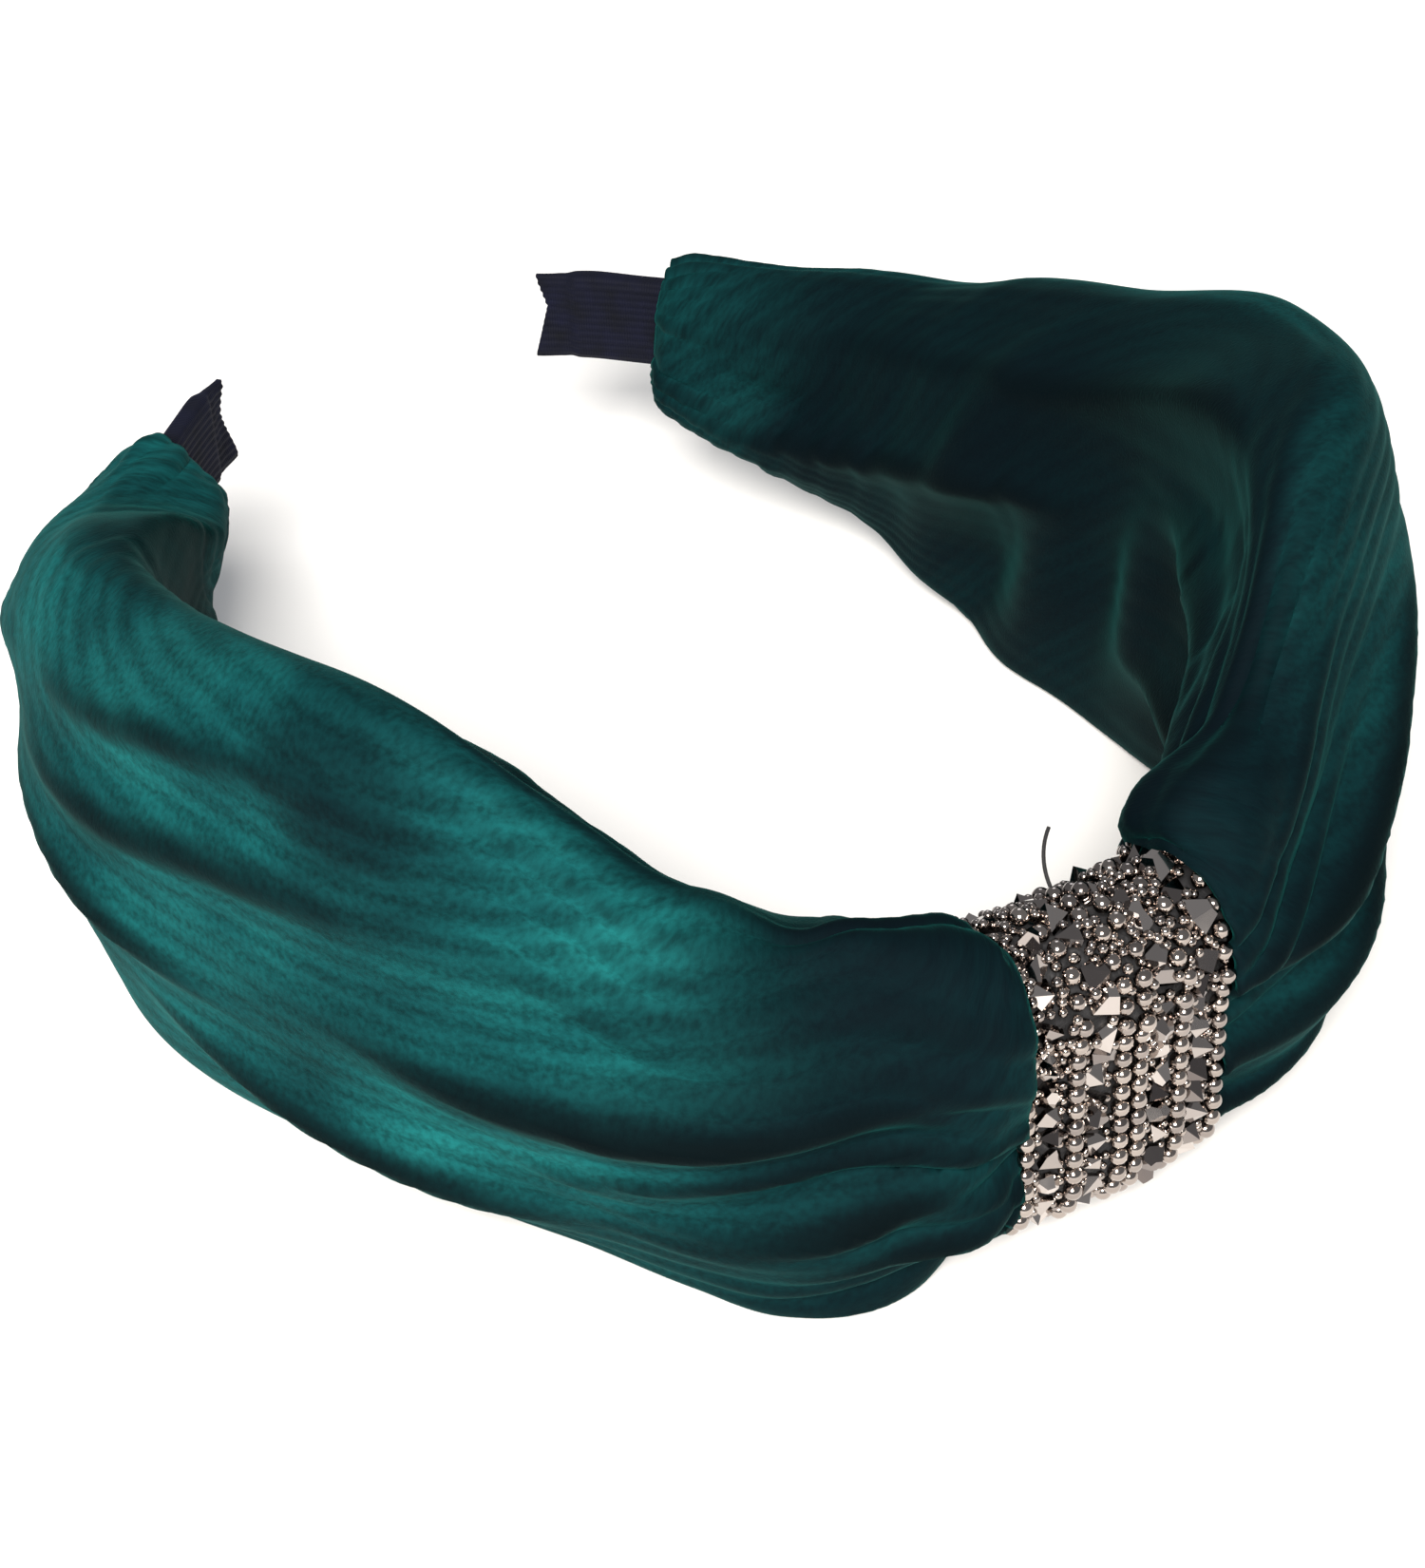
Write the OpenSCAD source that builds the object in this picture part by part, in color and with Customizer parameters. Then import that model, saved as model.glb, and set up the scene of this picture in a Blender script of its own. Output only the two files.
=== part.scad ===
// Knotted velvet headband.
// A springy plastic core runs from tip to tip inside a wide velvet tube. A beaded strap pinches
// the tube into a knot at the crown, and a ribbed ribbon sleeve covers each end of the core.
// The band lies on its lower edge: Z is up, the crown faces -Y and the two tips point to +Y.
// The origin is on the table, under the middle of the headband's box.
// An arm starts at the flex line beside the strap. Lengths along an arm are measured on the
// core's own line, from the middle of the crown.

/* [Arch] */
// Radius of the core's line over the crown
crown_r = 56; // [50:1:70]
// Angle from the middle of the crown to the end of the crown arc
crown_angle = 63; // [56:1:72]
// Radius of the core's line down each side
side_r = 98; // [82:1:118]
// Angle of each side arc
side_angle = 76; // [60:1:82]

/* [Core] */
// Thickness of the plastic core
core_t = 1.4; // [1:0.1:2.2]
// Width of the core at the crown
core_w_crown = 14; // [11:0.5:17]
// Width of the core at its tips
core_w_tip = 11; // [9:0.5:14]

/* [Tip sleeves] */
// Thickness of the ribbon
sleeve_t = 0.6; // [0.4:0.1:1]
// Ribbon seen beyond the velvet, up to the end of the core
sleeve_shown = 14; // [10:1:22]
// Ribbon hidden inside the velvet
sleeve_hidden = 14; // [8:1:20]
// Flat ribbon past the end of the core
flap_len = 5.5; // [3:0.5:7]
// Depth of the hollow in the flap's cut end
flap_hollow = 2; // [1:0.25:2.5]

/* [Velvet] */
// Thickness of the velvet
velvet_t = 1.2; // [0.8:0.1:1.6]
// How far a wing's upper edge rises above the core's line
wing_top = 38; // [31:1:46]
// How far a wing's lower edge would hang below the core's line
wing_drop = 30; // [25:1:36]
// How much of that lower edge is pressed flat where it lies
rest_press = 1.5; // [0.5:0.25:2.5]
// How far a wing swells outside the core's line
wing_out = 12; // [9:0.5:15]
// How far a wing swells inside the core's line
wing_in = 7.5; // [6.5:0.5:10]
// Length along the core's line at which a wing's upper edge is highest
top_peak = 68; // [56:1:82]
// Length along the core's line at which a wing is deepest and lowest
low_peak = 98; // [80:1:118]

/* [Strap] */
// Width of the beaded strap
strap_w = 27; // [23:1:33]
// Outer height of the wrapped knot
strap_h = 33; // [30:1:40]
// Outer depth of the wrapped knot
strap_d = 13; // [11:0.5:16]
// How far the knot sags below the core's line
strap_sag = 6; // [0:0.5:7]
// Thickness of the strap's mesh backing
strap_t = 0.9; // [0.6:0.1:1.3]
// Height of the lap that closes the strap inside
lap_h = 10; // [7:0.5:12]

/* [Beads and stones] */
// Diameter of a ball bead
bead_d = 1.95; // [1.5:0.05:2.1]
// Diameter of a seed bead
seed_d = 0.9; // [0.6:0.05:0.95]
// Width of a faceted stone across its corners
stone_w = 3; // [2.2:0.1:3.1]
// Height of a faceted stone
stone_h = 1.4; // [1:0.1:2]

/* [Flex] */
// How far an arm springs open
open_angle = 15; // [8:1:18]
// How far an arm can be squeezed in
squeeze_angle = 5; // [2:1:8]

/* [Hidden] */
$fn = 72;

fit = 0.15;           // clearance round the core inside its sleeve and its channel
touch = 0.05;         // clearance between pieces that lie on each other
flex_gap = 0.3;       // clearance each side of the flex line
root_lap = 1;         // how far a side arc runs back inside the crown arc
thinner = 0.1;        // how much thinner a side arc is than the crown arc
big = 400;            // longer than the whole headband
radian = 180 / PI;

// Arch, worked out from the two arcs
crown_len = crown_r * crown_angle / radian;
side_len = side_r * side_angle / radian;
tip_s = crown_len + side_len;
end_s = tip_s + flap_len;
side_centre = [(crown_r - side_r) * sin(crown_angle), crown_r - (crown_r - side_r) * cos(crown_angle)];

function heading(s) = s < crown_len ? s / crown_r * radian : crown_angle + (s - crown_len) / side_r * radian;
function along(s) = s < crown_len
    ? [crown_r * sin(heading(s)), crown_r - crown_r * cos(heading(s))]
    : side_centre + side_r * [sin(heading(s)), -cos(heading(s))];
function outward(s) = [sin(heading(s)), -cos(heading(s))];

// Core and sleeves
tip_y = along(tip_s)[1];
function core_half_w(y) = (core_w_crown + (core_w_tip - core_w_crown) * y / tip_y) / 2;
sleeve_gap_t = core_t / 2 + fit;
sleeve_half_t = sleeve_gap_t + sleeve_t;
sleeve_s = tip_s - sleeve_shown - sleeve_hidden;
tail_s = tip_s - sleeve_shown;
sleeve_half_h = core_half_w(along(sleeve_s)[1]) + fit + sleeve_t;

// Strap, as a stadium that is wrapped round the pinched velvet
end_r = strap_d / 2;
straight = strap_h / 2 - end_r;
loop_len = 4 * straight + 2 * PI * end_r;
lap_t = strap_t;
flex_x = strap_w / 2 + flex_gap + touch;
flex_s = crown_r * asin(flex_x / crown_r) / radian;
flex_y = along(flex_s)[1];

// Wings: half heights and half depths at the mouth and at the tail
mouth_h = strap_h / 2 - strap_t - touch;
mouth_d = end_r - strap_t - touch;
tail_d = 2 * sleeve_half_t + velvet_t;
tail_h = (sleeve_half_h + fit) / sqrt(0.75) + velvet_t;
rings = 30;
ring_points = 32;

// Rows across the strap, from its left edge
edge_margin = 0.9;
row_outer = strap_w / 2 - edge_margin - bead_d / 2;
row_inner = bead_d / 2 + touch / 2;
row_middle = (row_outer + row_inner) / 2;
bead_rows = [-row_outer, -row_middle, -row_inner, row_inner, row_middle, row_outer];
seed_x = row_outer - (bead_d + seed_d) / 2 - touch;
stone_outer_x = (seed_x - seed_d / 2 + row_middle + bead_d / 2) / 2;
stone_inner_x = (row_middle + row_inner) / 2;
stone_rows = [-stone_outer_x, -stone_inner_x, stone_inner_x, stone_outer_x];
bead_pitch = bead_d * 1.08;
stone_pitch = stone_w * 1.06;
beaded_from = lap_h / 2 + bead_d;
beaded_len = loop_len - 2 * beaded_from;

// Place of the whole headband in its own frame
band_z = wing_drop - rest_press;
low_y = -(end_r + touch + bead_d);
high_y = along(end_s)[1] + outward(end_s)[1] * sleeve_t;
shift_y = -(low_y + high_y) / 2;

module place() translate([0, shift_y, band_z]) children();
module left() place() mirror([1, 0, 0]) children();
module right() place() children();
module knot() place() translate([0, 0, -strap_sag]) children();

// ---- Strips that follow the arch ----

// An arc of a flat strip, standing on edge
module arc_strip(centre, r, from, to, t, h)
    translate([centre[0], centre[1], 0])
        rotate([0, 0, from - 90])
            rotate_extrude(angle = to - from)
                translate([r - t / 2, -h / 2])
                    square([t, h]);

// A strip on the right-hand arm, between two lengths along the core's line.
// The side arc is a hair thinner, so its root laps inside the end of the crown arc.
module strip(s0, s1, t, h) {
    if (s0 < crown_len)
        arc_strip([0, crown_r], crown_r, heading(s0), heading(min(s1, crown_len)), t, h);
    if (s1 > crown_len)
        arc_strip(side_centre, side_r, heading(max(s0, crown_len - root_lap)), heading(s1), t - thinner, h);
}

// Keeps what lies inside the core's taper, grown by a margin
module tapered(margin)
    intersection() {
        children();
        rotate([90, 0, 90])
            linear_extrude(big, center = true)
                polygon([
                    [-big, -core_half_w(-big) - margin], [2 * tip_y, -core_half_w(2 * tip_y) - margin],
                    [2 * tip_y, core_half_w(2 * tip_y) + margin], [-big, core_half_w(-big) + margin]
                ]);
    }

// Stands at a place on the core's line: +X runs on towards the tip and +Y points into the arch
module at_line(s)
    translate([along(s)[0], along(s)[1], 0])
        rotate([0, 0, heading(s)])
            children();

// A prism through an arm's tip with a round end, grown by a margin
module round_tip(margin) {
    r = core_w_tip / 2 + margin;
    at_line(tip_s)
        rotate([90, 0, 0])
            linear_extrude(big, center = true)
                union() {
                    translate([margin - r, 0]) circle(r);
                    translate([margin - r - big, -big / 2]) square([big, big]);
                }
}

// The arm's core, or the space that it takes up, grown by a margin
module core_space(s0, margin)
    intersection() {
        tapered(margin) strip(s0, tip_s + margin, core_t + 2 * margin, core_w_crown * 2);
        round_tip(margin);
    }

module core_arm()
    color("#3a3a3e")
        core_space(flex_s + flex_gap, 0);

module core_crown()
    color("#3a3a3e")
        place()
            tapered(0)
                for (side = [0, 1])
                    mirror([side, 0, 0])
                        strip(0, flex_s - flex_gap, core_t, core_w_crown * 2);

// ---- Ribbon sleeves and their glue ----

// Ribbon round the end of the core, pressed flat past it and cut with a hollow end
module tip_sleeve()
    color("#1d2233")
        difference() {
            union() {
                tapered(fit + sleeve_t)
                    strip(sleeve_s, tip_s + fit + sleeve_t, 2 * sleeve_half_t, core_w_crown * 2);
                tapered(fit + sleeve_t)
                    strip(tip_s, end_s, 2 * sleeve_t, core_w_crown * 2);
            }
            tapered(fit) strip(sleeve_s - 1, tip_s + fit, core_t + 2 * fit, core_w_crown * 2);
            hollow_end();
        }

// The cutter for the hollow end: a drum whose arc runs through both corners of the flap
module hollow_end() {
    half = core_w_tip / 2 + fit + sleeve_t;
    drum_r = (half * half + flap_hollow * flap_hollow) / (2 * flap_hollow);
    at_line(end_s)
        translate([drum_r - flap_hollow, 0, 0])
            rotate([90, 0, 0])
                cylinder(r = drum_r, h = 6 * sleeve_half_t, center = true);
}

// Two pads of hot glue that hold the velvet's end to the sleeve
module tip_glue()
    color("#cfc9bd")
        difference() {
            strip(tail_s - 4, tail_s - 1, 2 * (sleeve_half_t + 0.75), sleeve_half_h);
            tapered(fit + sleeve_t + touch)
                strip(tail_s - 5, tail_s, 2 * (sleeve_half_t + touch), core_w_crown * 2);
        }

// ---- Velvet ----

// A size that swells from the mouth to its peak and falls away to the tail.
// A small power makes that side full and a large one makes it lean.
function swell(s, mouth, widest, tail, peak, rise, fall) = s < peak
    ? mouth + (widest - mouth) * pow(sin(90 * (s - flex_s) / (peak - flex_s)), rise)
    : tail + (widest - tail) * pow(cos(90 * (s - peak) / (tail_s - peak)), fall);

// Room at the mouth for the arm to turn about the flex line, by distance outside that line
function turning_room(out) = out > 0 ? out * tan(open_angle) : -out * tan(squeeze_angle);

// One point of the tube's wall at a length s and an angle round the tube, set in by a depth
function wall_point(s, angle, depth) = let(
        out = swell(s, mouth_d, wing_out, tail_d, low_peak, 0.8, 1) - depth,
        in = swell(s, mouth_d, wing_in, tail_d, low_peak, 0.8, 1) - depth,
        top = swell(s, mouth_h - strap_sag, wing_top, tail_h, top_peak, 0.7, 2) - depth,
        drop = swell(s, mouth_h + strap_sag, wing_drop, tail_h, low_peak, 0.35, 0.5) - depth,
        height = sin(angle) * (sin(angle) > 0 ? top : drop),
        lateral = cos(angle) * (cos(angle) > 0 ? out : in),
        start = max(0, 1 - (s - flex_s) / mouth_h),
        onward = start * (turning_room(lateral) - lateral * sin(heading(flex_s))),
        p = along(s + onward) + lateral * outward(s + onward)
    ) [p[0], p[1], max(height, depth - band_z)];

// The open-ended tube, as a closed solid with an outer and an inner wall
module velvet_wing()
    color("#12534b") {
        first_s = flex_s + flex_gap;
        stations = [for (i = [0:rings]) first_s + (tail_s - first_s) * i / rings];
        turns = [for (j = [0:ring_points - 1]) 360 * j / ring_points];
        outer = [for (s = stations, a = turns) wall_point(s, a, 0)];
        inner = [for (s = stations, a = turns) wall_point(s, a, velvet_t)];
        inside = len(outer);
        n = ring_points;
        sides = [for (i = [0:rings - 1], j = [0:n - 1])
            let(a = i * n + j, b = i * n + (j + 1) % n)
            each [[a, b, b + n], [a, b + n, a + n],
                  [inside + a, inside + b + n, inside + b], [inside + a, inside + a + n, inside + b + n]]];
        rims = [for (j = [0:n - 1])
            let(a = j, b = (j + 1) % n, c = rings * n + j, d = rings * n + (j + 1) % n)
            each [[a, inside + b, b], [a, inside + a, inside + b],
                  [c, d, inside + d], [c, inside + d, inside + c]]];
        polyhedron(points = concat(outer, inner), faces = concat(sides, rims));
    }

module stadium(h, d) {
    square([d, h - d], center = true);
    for (side = [-1, 1])
        translate([0, side * (h - d) / 2]) circle(d / 2);
}

// A profile carried round the crown and cut to the strap's width
module round_crown(width)
    intersection() {
        translate([0, crown_r, 0])
            rotate([0, 0, -90 - crown_angle / 2])
                rotate_extrude(angle = crown_angle)
                    translate([crown_r, 0])
                        children();
        cube([width, big, big], center = true);
    }

// The gathered middle of the tube, packed solid under the strap
module velvet_pinch()
    color("#12534b")
        place()
            difference() {
                translate([0, 0, -strap_sag])
                    round_crown(strap_w) stadium(2 * mouth_h, 2 * mouth_d);
                tapered(fit)
                    for (side = [0, 1])
                        mirror([side, 0, 0])
                            strip(0, flex_s + 1, core_t + 2 * fit, core_w_crown * 2);
            }

// ---- Strap ----

module strap_backing()
    color("#2b2a2c")
        knot()
            round_crown(strap_w)
                difference() {
                    stadium(strap_h, strap_d);
                    stadium(strap_h - 2 * strap_t, strap_d - 2 * strap_t);
                }

// The strap's plain end, lapped over its start on the side that faces the head
module strap_lap()
    color("#2b2a2c")
        knot()
            round_crown(strap_w)
                translate([-end_r - touch - lap_t, -lap_h / 2])
                    square([lap_t, lap_h]);

// A place on the loop of the strap: [distance outside the core's line, height, normal's angle].
// It is measured from the middle of the face inside the arch, going up.
function on_loop(u) = let(
        top = straight, outer = top + PI * end_r, under = outer + 2 * straight, back = under + PI * end_r
    )
    u < top ? [-end_r, u, 180] :
    u < outer ? let(a = 180 - (u - top) / end_r * radian) [end_r * cos(a), straight + end_r * sin(a), a] :
    u < under ? [end_r, straight - (u - outer), 0] :
    u < back ? let(a = -(u - under) / end_r * radian) [end_r * cos(a), end_r * sin(a) - straight, a] :
    [-end_r, u - back - straight, 180];

// Stands on the strap at x across it and u round it: +Z leaves the strap
module on_strap(x, u) {
    p = on_loop(u);
    r = crown_r + p[0];
    translate([0, crown_r, 0])
        rotate([0, 0, asin(x / r)])
            translate([0, -r, p[1]])
                rotate([90 - p[2], 0, 0])
                    children();
}

// The same number of places as fit on the beaded length, evenly spread
function places(pitch) = let(n = floor(beaded_len / pitch))
    [for (i = [0:n - 1]) beaded_from + beaded_len * (i + 0.5) / n];

module bead_row(i)
    color("#b9aea6")
        knot()
            for (u = places(bead_pitch))
                on_strap(bead_rows[i], u)
                    translate([0, 0, bead_d / 2 + touch])
                        sphere(d = bead_d);

module seed_beads()
    color("#b9aea6")
        knot()
            for (side = [-1, 1], u = places(bead_pitch))
                on_strap(side * seed_x, u)
                    translate([0, 0, seed_d / 2 + touch])
                        sphere(d = seed_d);

// A faceted chip: a pyramid with an apex off its centre
module stone(corners, turn, lean) {
    base = [for (k = [0:corners - 1])
        stone_w / 2 * [cos(turn + 360 * k / corners), sin(turn + 360 * k / corners)]];
    apex = [stone_w / 4 * cos(lean), stone_w / 4 * sin(lean), stone_h];
    polyhedron(
        points = concat([for (p = base) [p[0], p[1], 0]], [apex]),
        faces = concat(
            [[for (k = [0:corners - 1]) k]],
            [for (k = [0:corners - 1]) [(k + 1) % corners, k, corners]]
        )
    );
}

module stone_row(i) {
    at = places(stone_pitch);
    turns = rands(0, 360, 3 * len(at), 41 + i);
    color("#8d8782")
        knot()
            for (k = [0:len(at) - 1])
                on_strap(stone_rows[i], at[k])
                    translate([0, 0, touch])
                        stone(turns[3 * k] > 200 ? 5 : 4, turns[3 * k + 1], turns[3 * k + 2]);
}

// Slanted stitches over both edges of the lap, and the cut tail of their thread
module strap_stitches() {
    thread_r = 0.2;
    stitch_len = 2.4;
    stitches = floor((strap_w - 4) / stitch_len);
    r = crown_r - end_r - touch - lap_t - touch - thread_r;
    color("#17171a")
        knot() {
            for (side = [-1, 1], i = [0:stitches - 1])
                translate([0, crown_r, side * (lap_h / 2 - stitch_len / 2)])
                    rotate([0, 0, asin((i - (stitches - 1) / 2) * stitch_len / r)])
                        translate([0, -r, 0])
                            rotate([0, side * 25, 0])
                                cylinder(r = thread_r, h = stitch_len, center = true);
            tail_bend = 7;
            on_strap(0, straight + end_r * PI / 4)
                translate([tail_bend, 0, bead_d + touch])
                    rotate([90, 0, 0])
                        rotate([0, 0, 130])
                            rotate_extrude(angle = 50)
                                translate([tail_bend, 0])
                                    circle(thread_r);
        }
}

core_crown();
left() core_arm();  // core_left
right() core_arm();  // core_right
left() tip_sleeve();  // tip_sleeve_left
right() tip_sleeve();  // tip_sleeve_right
left() tip_glue();  // tip_glue_left
right() tip_glue();  // tip_glue_right
velvet_pinch();
left() velvet_wing();  // velvet_wing_left
right() velvet_wing();  // velvet_wing_right
strap_backing();
strap_lap();
strap_stitches();
bead_row(0);  // bead_row_1
bead_row(1);  // bead_row_2
bead_row(2);  // bead_row_3
bead_row(3);  // bead_row_4
bead_row(4);  // bead_row_5
bead_row(5);  // bead_row_6
stone_row(0);  // stone_row_1
stone_row(1);  // stone_row_2
stone_row(2);  // stone_row_3
stone_row(3);  // stone_row_4
seed_beads();
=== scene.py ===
import math

import bmesh
import bpy
import numpy as np
from mathutils import Matrix, Vector


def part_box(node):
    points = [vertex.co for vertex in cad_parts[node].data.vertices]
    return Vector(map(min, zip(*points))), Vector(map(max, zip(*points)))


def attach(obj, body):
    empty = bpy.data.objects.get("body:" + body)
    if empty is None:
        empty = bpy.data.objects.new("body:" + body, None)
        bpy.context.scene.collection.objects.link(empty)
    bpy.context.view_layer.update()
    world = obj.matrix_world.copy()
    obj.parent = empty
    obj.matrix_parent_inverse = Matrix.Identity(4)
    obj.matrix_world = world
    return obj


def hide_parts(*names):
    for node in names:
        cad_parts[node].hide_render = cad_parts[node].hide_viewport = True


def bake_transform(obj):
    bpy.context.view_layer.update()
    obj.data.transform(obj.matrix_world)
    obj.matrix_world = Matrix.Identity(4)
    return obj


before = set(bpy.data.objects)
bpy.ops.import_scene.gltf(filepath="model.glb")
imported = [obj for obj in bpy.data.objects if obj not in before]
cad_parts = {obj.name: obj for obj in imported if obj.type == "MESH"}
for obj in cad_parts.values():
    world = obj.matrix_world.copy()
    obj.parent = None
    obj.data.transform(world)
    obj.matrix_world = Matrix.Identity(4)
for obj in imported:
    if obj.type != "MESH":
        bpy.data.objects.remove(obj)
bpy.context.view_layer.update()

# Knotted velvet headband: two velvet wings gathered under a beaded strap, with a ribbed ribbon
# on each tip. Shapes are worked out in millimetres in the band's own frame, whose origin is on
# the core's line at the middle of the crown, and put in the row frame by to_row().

MM = 0.001
LEFT, RIGHT = -1, 1

# ---- The arch, as in the CAD (mm and degrees) ----

CROWN_R = 56
CROWN_ANGLE = math.radians(63)
SIDE_R = 98
CROWN_LEN = CROWN_R * CROWN_ANGLE
SIDE_CENTRE = (CROWN_R - SIDE_R) * np.array([math.sin(CROWN_ANGLE), -math.cos(CROWN_ANGLE)])
SIDE_CENTRE = SIDE_CENTRE + np.array([0, CROWN_R])
TIP = 191.6           # length along the core's line to the end of the plastic
TAIL = 177.6          # to the end of the velvet
SLEEVE_START = 163.6  # to the hidden end of the ribbon
CORE_T = 1.4
FLEX = 13.85          # half the strap's width, where the arms start to bend

core_low, core_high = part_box("core_crown")
band_y = core_low.y / MM + CORE_T / 2
band_z = (core_low.z + core_high.z) / 2 / MM


def along(s):
    """Points on the core's line at lengths s from the crown's middle, on the right-hand side."""
    side = s > CROWN_LEN
    turn = np.where(side, CROWN_ANGLE + (s - CROWN_LEN) / SIDE_R, s / CROWN_R)
    radius = np.where(side, SIDE_R, CROWN_R)
    x = radius * np.sin(turn) + np.where(side, SIDE_CENTRE[0], 0)
    y = -radius * np.cos(turn) + np.where(side, SIDE_CENTRE[1], CROWN_R)
    return x, y, turn


def stand_off(s, out, up):
    """Points at lengths s, a distance out from the core's line and a height above it."""
    x, y, turn = along(s)
    return np.stack([x + out * np.sin(turn), y - out * np.cos(turn), up + 0 * x], -1)


def to_row(points, side=RIGHT):
    """From millimetres in the band's frame to metres in the row frame, mirrored for the left."""
    moved = np.array(points, float)
    moved[..., 0] *= side
    return (moved + np.array([0, band_y, band_z])) * MM


def smooth_line(x, xs, ys):
    """A smooth curve through the points (xs, ys)."""
    xs = np.array(xs, float)
    ys = np.array(ys, float)
    slope = np.gradient(ys, xs)
    i = np.clip(np.searchsorted(xs, x) - 1, 0, len(xs) - 2)
    gap = xs[i + 1] - xs[i]
    t = np.clip((x - xs[i]) / gap, 0, 1)
    ends = (1 + 2 * t) * (1 - t) ** 2 * ys[i] + t * t * (3 - 2 * t) * ys[i + 1]
    return ends + t * (1 - t) * gap * ((1 - t) * slope[i] - t * slope[i + 1])


def fade(x, start, end):
    """0 before start, 1 after end, smooth between; start may be the larger one."""
    t = np.clip((x - start) / (end - start), 0, 1)
    return t * t * (3 - 2 * t)


def ripple(rng, s, turn, waves, length, count=14):
    """Smooth seeded noise round and along a tube, about -1 to 1."""
    total = 0
    for _ in range(count):
        round_waves = rng.integers(waves[0], waves[1] + 1)
        along_waves = 2 * math.pi / length * rng.normal()
        total = total + np.sin(round_waves * turn + along_waves * s + rng.uniform(0, 2 * math.pi))
    return total / math.sqrt(count)


# ---- Meshes ----

def tube_faces(rings, count, first=0, flip=False):
    """Quads of an open tube of rings, each with count points."""
    i, j = np.meshgrid(np.arange(rings - 1), np.arange(count), indexing="ij")
    k = (j + 1) % count
    corners = [i * count + j, i * count + k, (i + 1) * count + k, (i + 1) * count + j]
    if flip:
        corners.reverse()
    return np.stack(corners, -1).reshape(-1, 4) + first


def rim_faces(count, outer, inner, flip=False):
    """Quads between an outer ring and an inner ring."""
    j = np.arange(count)
    k = (j + 1) % count
    corners = [outer + j, inner + j, inner + k, outer + k]
    if flip:
        corners.reverse()
    return np.stack(corners, -1)


def add_mesh(name, points, faces, smooth=True):
    """A mesh object in the scene from points in metres and faces."""
    mesh = bpy.data.meshes.new(name)
    mesh.from_pydata(np.asarray(points).reshape(-1, 3).tolist(), [], [list(map(int, f)) for f in faces])
    mesh.validate()
    mesh.update()
    mesh.polygons.foreach_set("use_smooth", [smooth] * len(mesh.polygons))
    made = bpy.data.objects.new(name, mesh)
    bpy.context.scene.collection.objects.link(made)
    return made


def tube_normals(points):
    """Outward normals of a tube of rings of points."""
    round_way = np.roll(points, -1, 1) - np.roll(points, 1, 1)
    long_way = np.gradient(points, axis=0)
    normal = np.cross(round_way, long_way)
    return normal / np.maximum(np.linalg.norm(normal, axis=-1, keepdims=True), 1e-9)


def add_shell(name, outer, inner, side, lengths, girths):
    """A thin tube from its outer and inner rings, with a map of millimetres along and round it."""
    rings, count = outer.shape[:2]
    body = rings * count
    mirrored = side == LEFT
    faces = np.concatenate([
        tube_faces(rings, count, 0, not mirrored),
        tube_faces(rings, count, body, mirrored),
        rim_faces(count, 0, body, not mirrored),
        rim_faces(count, body - count, 2 * body - count, mirrored),
    ])
    points = to_row(np.concatenate([outer.reshape(-1, 3), inner.reshape(-1, 3)]), side)
    made = add_mesh(name, points, faces)
    corner = np.array([loop.vertex_index for loop in made.data.loops]) % body
    across = girths.reshape(-1)[corner]
    quads = across.reshape(-1, 4)
    wraps = quads.max(1) - quads.min(1) > girths.max() / 2
    quads[wraps] = np.where(quads[wraps] < girths.max() / 2, quads[wraps].max(1, keepdims=True), quads[wraps])
    flat = np.stack([lengths.reshape(-1)[corner], quads.reshape(-1)], -1) * MM
    layer = made.data.uv_layers.new(name="cloth")
    layer.data.foreach_set("uv", flat.reshape(-1).astype(np.float32))
    return made


# ---- Velvet wings ----
# Each wing is a wide velvet tube round the core. Its sizes are read at a few lengths along the
# core's line: how far it stands above and below the line, how far it swells outside and inside
# it, and how far its upper edge and its lower edge lean outward.

STATIONS = [12, 14, 18, 24, 32, 40, 50, 62, 85, 110, 135, 158, 172, TAIL]
WING = {
    RIGHT: {
        "top": [8.6, 9.2, 12.5, 18, 25, 31, 35.5, 37.5, 33.2, 23, 13, 7.3, 7, 7],
        "bottom": [20.5, 21, 22.5, 23.5, 23.5, 22.8, 22.6, 24, 28.5, 29.5, 25, 15, 9, 7],
        "out": [4.4, 4.5, 5, 6, 7, 7.5, 8.8, 11.4, 12.5, 9.8, 7, 5, 3.6, 2.4],
        "in": [4.4, 4.5, 5, 5.4, 6, 6.5, 7, 7.5, 8, 8.5, 7, 5, 3.6, 2.4],
        "lean": [0, 0, -1, -2, -2.5, -2, -0.5, 3, 4, 2, 3, 1, 0, 0],
        "foot": [0, 0, 0.5, 1, 1.5, 2, 2.5, 1.5, -3.5, -7.2, -5.6, -2.2, -1, 0],
    },
    LEFT: {
        "top": [8.6, 9.2, 12.5, 16.5, 16.5, 18.5, 27, 33.5, 32.5, 25.5, 17, 10, 7.5, 7.2],
        "bottom": [20.5, 21.5, 26.5, 29.5, 30, 29, 28.5, 28.5, 28.5, 28, 23, 16, 11, 7.2],
        "out": [4.4, 4.4, 4.7, 5.6, 7.2, 8, 8, 8.5, 10, 12.9, 10.6, 7.8, 4.5, 2.4],
        "in": [4.4, 4.5, 5, 5.4, 5.5, 5.5, 5.5, 6, 7.5, 7, 5.5, 3.4, 2.8, 2.4],
        "lean": [0, 0, 0, 0, 0.5, 1, 1, 1, 0, -1, 3.6, 2.4, 0, 0],
        "foot": [0, 0, 1.8, 4.2, 2.8, -1, -4, -4.8, -2, 1.5, 0.7, 0, 0, 0],
    },
}

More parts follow.
